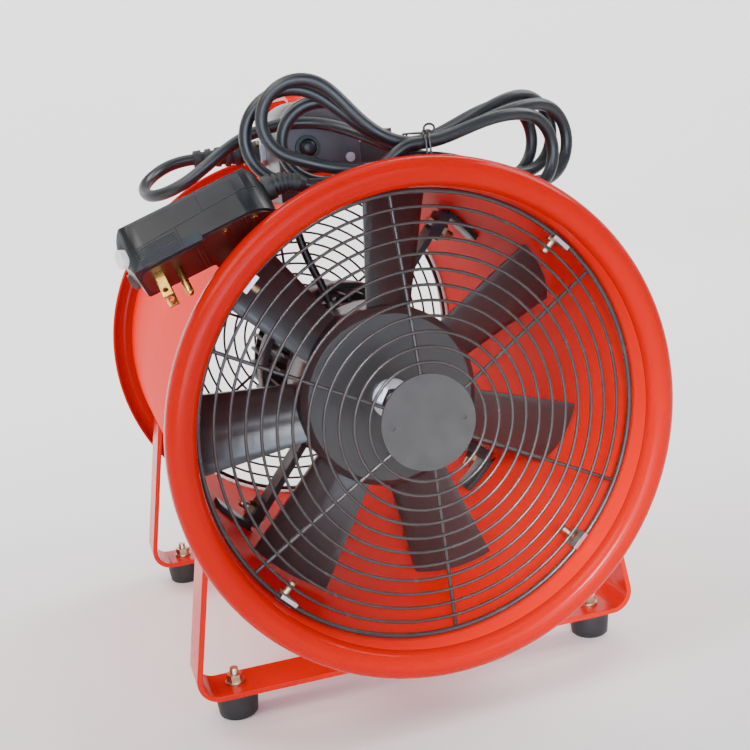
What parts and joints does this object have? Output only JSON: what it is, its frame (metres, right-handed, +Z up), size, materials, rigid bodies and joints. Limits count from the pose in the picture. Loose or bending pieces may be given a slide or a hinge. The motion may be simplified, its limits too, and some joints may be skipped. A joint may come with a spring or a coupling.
{
  "type": "portable axial ventilator",
  "caption": "Round steel drum fan on strap legs with wire guards, bladed impeller, inner motor, top handle, switch box and tied supply cord with plug.",
  "frame": {"origin": "on the floor under the middle of the drum, between the feet", "axes": "+Z up, -Y out of the front guard along the fan's axis, +X to the right seen from the front"},
  "size_m": [0.3485, 0.423, 0.4281],
  "materials": {
    "red_paint": "gloss red-orange enamel",
    "black_rubber": "matte moulded rubber",
    "cord_jacket": "satin cord jacket",
    "yellow_zinc": "yellow zinc plate",
    "grey_wire": "grey coated wire",
    "bright_zinc": "bright zinc plate",
    "nut_chrome": "bright plate",
    "impeller_plastic": "dark grey satin moulding",
    "machined_steel": "turned steel",
    "core_steel": "stacked core sheets",
    "black_paint": "satin black paint",
    "copper_wire": "varnished copper wire",
    "box_enamel": "dark grey enamel",
    "black_plastic": "fine grained moulding",
    "can_aluminium": "drawn can",
    "brown_plastic": "dark brown moulding",
    "plug_brass": "stamped brass",
    "white_plastic": "moulded key"
  },
  "bodies": {
    "housing": {"drum": "red_paint", "front_lip": "red_paint", "rear_lip": "red_paint", "front_strap": "red_paint", "rear_strap": "red_paint", "feet": "black_rubber", "foot_studs": "yellow_zinc", "front_guard": "grey_wire", "rear_guard": "grey_wire", "guard_clips": "bright_zinc", "guard_bolts": "yellow_zinc", "motor_frame": "black_paint", "front_bell": "black_paint", "rear_bell": "black_paint", "stator": "core_steel", "windings": "copper_wire", "front_bearing": "machined_steel", "rear_bearing": "machined_steel", "motor_carrier": "black_paint", "arm_tabs": "black_paint", "arm_bolts": "yellow_zinc", "motor_cable": "cord_jacket", "cable_grommet": "black_rubber", "handle": "red_paint", "box_saddle": "box_enamel", "switch_box": "box_enamel", "box_cover": "box_enamel", "cover_screws": "bright_zinc", "button_bezel": "black_plastic", "switch_body": "black_plastic", "capacitor": "can_aluminium", "toggle_bushing": "nut_chrome", "boot_flange": "bright_zinc", "flange_screws": "yellow_zinc", "cord_boot": "black_rubber", "cord_box_lead": "cord_jacket", "cord_hank": "cord_jacket", "cord_plug_lead": "cord_jacket", "cord_tie": "bright_zinc", "plug_shell": "black_plastic", "plug_base": "brown_plastic", "plug_blades": "plug_brass", "plug_pin": "plug_brass", "plug_screws": "machined_steel", "plug_relief": "black_rubber"},
    "impeller_group": {"impeller": "impeller_plastic", "hub_washer": "bright_zinc", "shaft_nut": "nut_chrome", "shaft": "machined_steel", "rotor": "core_steel"},
    "breaker_button": {"switch_button": "black_rubber"},
    "toggle": {"toggle_lever": "nut_chrome"},
    "plug_reset": {"reset_key": "white_plastic"},
    "plug_test": {"test_key": "black_plastic"}
  },
  "joints": [
    {"name": "impeller_spin", "type": "hinge", "parent": "housing", "child": "impeller_group", "pos_m": [0, 0, 0.204], "axis": [0, -1, 0], "continuous": true},
    {"name": "breaker_press", "type": "slide", "parent": "housing", "child": "breaker_button", "axis": [0, 1, 0], "range_m": [0, 0.0025], "stiffness_N_per_m": 600},
    {"name": "toggle_flip", "type": "hinge", "parent": "housing", "child": "toggle", "pos_m": [0.01207, -0.073, 0.38785], "axis": [0, 1, 0], "range_deg": [0, 24]},
    {"name": "reset_press", "type": "slide", "parent": "housing", "child": "plug_reset", "axis": [0.9329, 0.3564, -0.0517], "range_m": [0, 0.0015], "stiffness_N_per_m": 600},
    {"name": "test_press", "type": "slide", "parent": "housing", "child": "plug_test", "axis": [0.5982, -0.5173, 0.612], "range_m": [0, 0.0015], "stiffness_N_per_m": 600}
  ]
}
